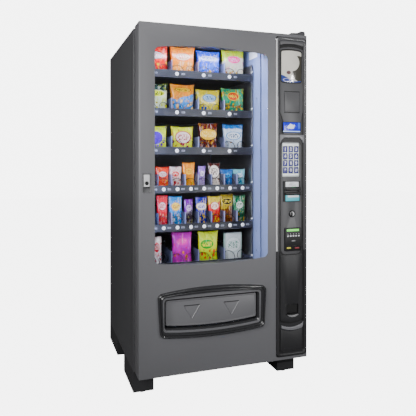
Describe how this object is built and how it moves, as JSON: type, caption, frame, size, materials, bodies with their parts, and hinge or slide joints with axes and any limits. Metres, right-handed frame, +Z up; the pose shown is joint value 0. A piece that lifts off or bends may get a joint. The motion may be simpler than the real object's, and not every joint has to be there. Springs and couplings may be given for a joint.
{
  "type": "snack vending machine",
  "caption": "Glass-front snack vending machine: steel cabinet on legs, hinged door with window, side control panel and push-flap delivery bin, over wire-spiral trays.",
  "frame": {"origin": "centre of the machine's bounding box at floor level, under the levelling feet", "axes": "+Z up, +X to the right as the customer faces the machine, -Y out of its front"},
  "size_m": [0.905, 0.896, 1.845],
  "materials": {
    "charcoal_paint": "satin powder coat",
    "cabinet_paint": "satin powder coat",
    "black_moulding": "satin",
    "clear_glass": "clear",
    "black_rubber": "matt",
    "pale_liner": "satin",
    "tray_paint": "satin",
    "spring_wire": "dark plated",
    "picture_print": "gloss print",
    "display_blue": "lit",
    "silver_plate": "brushed",
    "key_navy": "satin",
    "bright_steel": "polished",
    "zinc_steel": "zinc plated",
    "lamp_white": "frosted"
  },
  "bodies": {
    "cabinet": {"cabinet_shell": "cabinet_paint", "compartment_divider": "pale_liner", "base_frame": "cabinet_paint", "left_tray_ladder": "zinc_steel", "right_tray_ladder": "zinc_steel", "top_hinge": "zinc_steel", "bottom_hinge": "zinc_steel", "coin_changer": "black_moulding", "power_inlet": "black_moulding"},
    "door": {"door_skin": "charcoal_paint", "door_glass": "clear_glass", "window_liner": "pale_liner", "lamp_strip": "lamp_white", "door_gasket": "black_rubber", "control_panel": "black_moulding", "picture_lens": "picture_print", "display_window": "display_blue", "keypad_plate": "silver_plate", "bill_validator": "black_moulding", "card_reader": "black_moulding", "coin_cup": "black_moulding", "bin_frame": "black_moulding", "delivery_bin": "zinc_steel", "lock_dish": "black_moulding"},
    "bin_flap": {"bin_flap": "black_moulding"},
    "anti_theft_flap": {"anti_theft_flap": "zinc_steel"},
    "lock_handle": {"lock_handle": "bright_steel"},
    "lock_cylinder": {"lock_cylinder": "bright_steel"},
    "coin_cup_flap": {"coin_cup_flap": "black_moulding"},
    "coin_return_button": {"coin_return_button": "bright_steel"},
    "tray_1": {"tray_1": "tray_paint"},
    "tray_2": {"tray_2": "tray_paint"},
    "tray_3": {"tray_3": "tray_paint"},
    "tray_4": {"tray_4": "tray_paint"},
    "tray_5": {"tray_5": "tray_paint"},
    "tray_6": {"tray_6": "tray_paint"},
    "coil_1_left": {"coil_1_left": "spring_wire"},
    "coil_1_right": {"coil_1_right": "spring_wire"},
    "coil_2_left": {"coil_2_left": "spring_wire"},
    "coil_2_right": {"coil_2_right": "spring_wire"},
    "coil_3_left": {"coil_3_left": "spring_wire"},
    "coil_3_right": {"coil_3_right": "spring_wire"},
    "coil_4_left": {"coil_4_left": "spring_wire"},
    "coil_4_right": {"coil_4_right": "spring_wire"},
    "foot_front_left": {"foot_front_left": "black_rubber"},
    "foot_rear_left": {"foot_rear_left": "black_rubber"},
    "foot_front_right": {"foot_front_right": "black_rubber"},
    "foot_rear_right": {"foot_rear_right": "black_rubber"},
    "key_01": {"key_01": "key_navy"},
    "key_02": {"key_02": "key_navy"},
    "key_03": {"key_03": "key_navy"},
    "key_04": {"key_04": "key_navy"},
    "key_05": {"key_05": "key_navy"},
    "key_06": {"key_06": "key_navy"},
    "key_07": {"key_07": "key_navy"},
    "key_08": {"key_08": "key_navy"},
    "key_09": {"key_09": "key_navy"},
    "key_10": {"key_10": "key_navy"},
    "key_11": {"key_11": "key_navy"},
    "key_12": {"key_12": "key_navy"}
  },
  "joints": [
    {"name": "door_hinge", "type": "hinge", "parent": "cabinet", "child": "door", "pos_m": [0.4345, -0.344, 0.95], "axis": [0, 0, 1], "range_deg": [0, 110]},
    {"name": "bin_flap_hinge", "type": "hinge", "parent": "door", "child": "bin_flap", "pos_m": [-0.0755, -0.41, 0.488], "axis": [1, 0, 0], "range_deg": [0, 65]},
    {"name": "anti_theft_hinge", "type": "hinge", "parent": "door", "child": "anti_theft_flap", "pos_m": [-0.0755, -0.347, 0.545], "axis": [1, 0, 0], "range_deg": [0, 78]},
    {"name": "lock_handle_pull", "type": "slide", "parent": "door", "child": "lock_handle", "axis": [0, -1, 0], "range_m": [0, 0.02]},
    {"name": "lock_cylinder_turn", "type": "hinge", "parent": "lock_handle", "child": "lock_cylinder", "pos_m": [-0.4138, -0.432, 1.062], "axis": [0, 1, 0], "range_deg": [0, 90]},
    {"name": "coin_cup_flap_hinge", "type": "hinge", "parent": "door", "child": "coin_cup_flap", "pos_m": [0.3705, -0.418, 0.4125], "axis": [1, 0, 0], "range_deg": [0, 60]},
    {"name": "coin_return_push", "type": "slide", "parent": "door", "child": "coin_return_button", "axis": [0, 1, 0], "range_m": [0, 0.004], "stiffness_N_per_m": 300, "springref_m": -0.003},
    {"name": "tray_1_slide", "type": "slide", "parent": "cabinet", "child": "tray_1", "axis": [0, -1, 0], "range_m": [0, 0.045]},
    {"name": "tray_2_slide", "type": "slide", "parent": "cabinet", "child": "tray_2", "axis": [0, -1, 0], "range_m": [0, 0.045]},
    {"name": "tray_3_slide", "type": "slide", "parent": "cabinet", "child": "tray_3", "axis": [0, -1, 0], "range_m": [0, 0.045]},
    {"name": "tray_4_slide", "type": "slide", "parent": "cabinet", "child": "tray_4", "axis": [0, -1, 0], "range_m": [0, 0.045]},
    {"name": "tray_5_slide", "type": "slide", "parent": "cabinet", "child": "tray_5", "axis": [0, -1, 0], "range_m": [0, 0.045]},
    {"name": "tray_6_slide", "type": "slide", "parent": "cabinet", "child": "tray_6", "axis": [0, -1, 0], "range_m": [0, 0.045]},
    {"name": "coil_1_left_turn", "type": "hinge", "parent": "tray_1", "child": "coil_1_left", "pos_m": [-0.3405, -0.232, 1.652], "axis": [0, 1, 0], "continuous": true},
    {"name": "coil_1_right_turn", "type": "hinge", "parent": "tray_1", "child": "coil_1_right", "pos_m": [-0.2655, -0.232, 1.652], "axis": [0, 1, 0], "continuous": true},
    {"name": "coil_2_left_turn", "type": "hinge", "parent": "tray_1", "child": "coil_2_left", "pos_m": [-0.1905, -0.232, 1.652], "axis": [0, 1, 0], "continuous": true},
    {"name": "coil_2_right_turn", "type": "hinge", "parent": "tray_1", "child": "coil_2_right", "pos_m": [-0.1155, -0.232, 1.652], "axis": [0, 1, 0], "continuous": true},
    {"name": "coil_3_left_turn", "type": "hinge", "parent": "tray_1", "child": "coil_3_left", "pos_m": [-0.0405, -0.232, 1.652], "axis": [0, 1, 0], "continuous": true},
    {"name": "coil_3_right_turn", "type": "hinge", "parent": "tray_1", "child": "coil_3_right", "pos_m": [0.0345, -0.232, 1.652], "axis": [0, 1, 0], "continuous": true},
    {"name": "coil_4_left_turn", "type": "hinge", "parent": "tray_1", "child": "coil_4_left", "pos_m": [0.1095, -0.232, 1.652], "axis": [0, 1, 0], "continuous": true},
    {"name": "coil_4_right_turn", "type": "hinge", "parent": "tray_1", "child": "coil_4_right", "pos_m": [0.1845, -0.232, 1.652], "axis": [0, 1, 0], "continuous": true},
    {"name": "foot_front_left_turn", "type": "hinge", "parent": "cabinet", "child": "foot_front_left", "pos_m": [-0.4, -0.263, 0.03], "axis": [0, 0, 1], "continuous": true},
    {"name": "foot_rear_left_turn", "type": "hinge", "parent": "cabinet", "child": "foot_rear_left", "pos_m": [-0.4, 0.408, 0.03], "axis": [0, 0, 1], "continuous": true},
    {"name": "foot_front_right_turn", "type": "hinge", "parent": "cabinet", "child": "foot_front_right", "pos_m": [0.4, -0.263, 0.03], "axis": [0, 0, 1], "continuous": true},
    {"name": "foot_rear_right_turn", "type": "hinge", "parent": "cabinet", "child": "foot_rear_right", "pos_m": [0.4, 0.408, 0.03], "axis": [0, 0, 1], "continuous": true},
    {"name": "key_01_press", "type": "slide", "parent": "door", "child": "key_01", "axis": [0, 1, 0], "range_m": [0, 0.002], "stiffness_N_per_m": 400, "springref_m": -0.002},
    {"name": "key_02_press", "type": "slide", "parent": "door", "child": "key_02", "axis": [0, 1, 0], "range_m": [0, 0.002], "stiffness_N_per_m": 400, "springref_m": -0.002},
    {"name": "key_03_press", "type": "slide", "parent": "door", "child": "key_03", "axis": [0, 1, 0], "range_m": [0, 0.002], "stiffness_N_per_m": 400, "springref_m": -0.002},
    {"name": "key_04_press", "type": "slide", "parent": "door", "child": "key_04", "axis": [0, 1, 0], "range_m": [0, 0.002], "stiffness_N_per_m": 400, "springref_m": -0.002},
    {"name": "key_05_press", "type": "slide", "parent": "door", "child": "key_05", "axis": [0, 1, 0], "range_m": [0, 0.002], "stiffness_N_per_m": 400, "springref_m": -0.002},
    {"name": "key_06_press", "type": "slide", "parent": "door", "child": "key_06", "axis": [0, 1, 0], "range_m": [0, 0.002], "stiffness_N_per_m": 400, "springref_m": -0.002},
    {"name": "key_07_press", "type": "slide", "parent": "door", "child": "key_07", "axis": [0, 1, 0], "range_m": [0, 0.002], "stiffness_N_per_m": 400, "springref_m": -0.002},
    {"name": "key_08_press", "type": "slide", "parent": "door", "child": "key_08", "axis": [0, 1, 0], "range_m": [0, 0.002], "stiffness_N_per_m": 400, "springref_m": -0.002},
    {"name": "key_09_press", "type": "slide", "parent": "door", "child": "key_09", "axis": [0, 1, 0], "range_m": [0, 0.002], "stiffness_N_per_m": 400, "springref_m": -0.002},
    {"name": "key_10_press", "type": "slide", "parent": "door", "child": "key_10", "axis": [0, 1, 0], "range_m": [0, 0.002], "stiffness_N_per_m": 400, "springref_m": -0.002},
    {"name": "key_11_press", "type": "slide", "parent": "door", "child": "key_11", "axis": [0, 1, 0], "range_m": [0, 0.002], "stiffness_N_per_m": 400, "springref_m": -0.002},
    {"name": "key_12_press", "type": "slide", "parent": "door", "child": "key_12", "axis": [0, 1, 0], "range_m": [0, 0.002], "stiffness_N_per_m": 400, "springref_m": -0.002}
  ],
  "couplings": [
    {"joint": "anti_theft_hinge", "follows": "bin_flap_hinge", "ratio": 1.2},
    {"joint": "coil_1_right_turn", "follows": "coil_1_left_turn", "ratio": -1},
    {"joint": "coil_2_right_turn", "follows": "coil_2_left_turn", "ratio": -1},
    {"joint": "coil_3_right_turn", "follows": "coil_3_left_turn", "ratio": -1},
    {"joint": "coil_4_right_turn", "follows": "coil_4_left_turn", "ratio": -1}
  ]
}
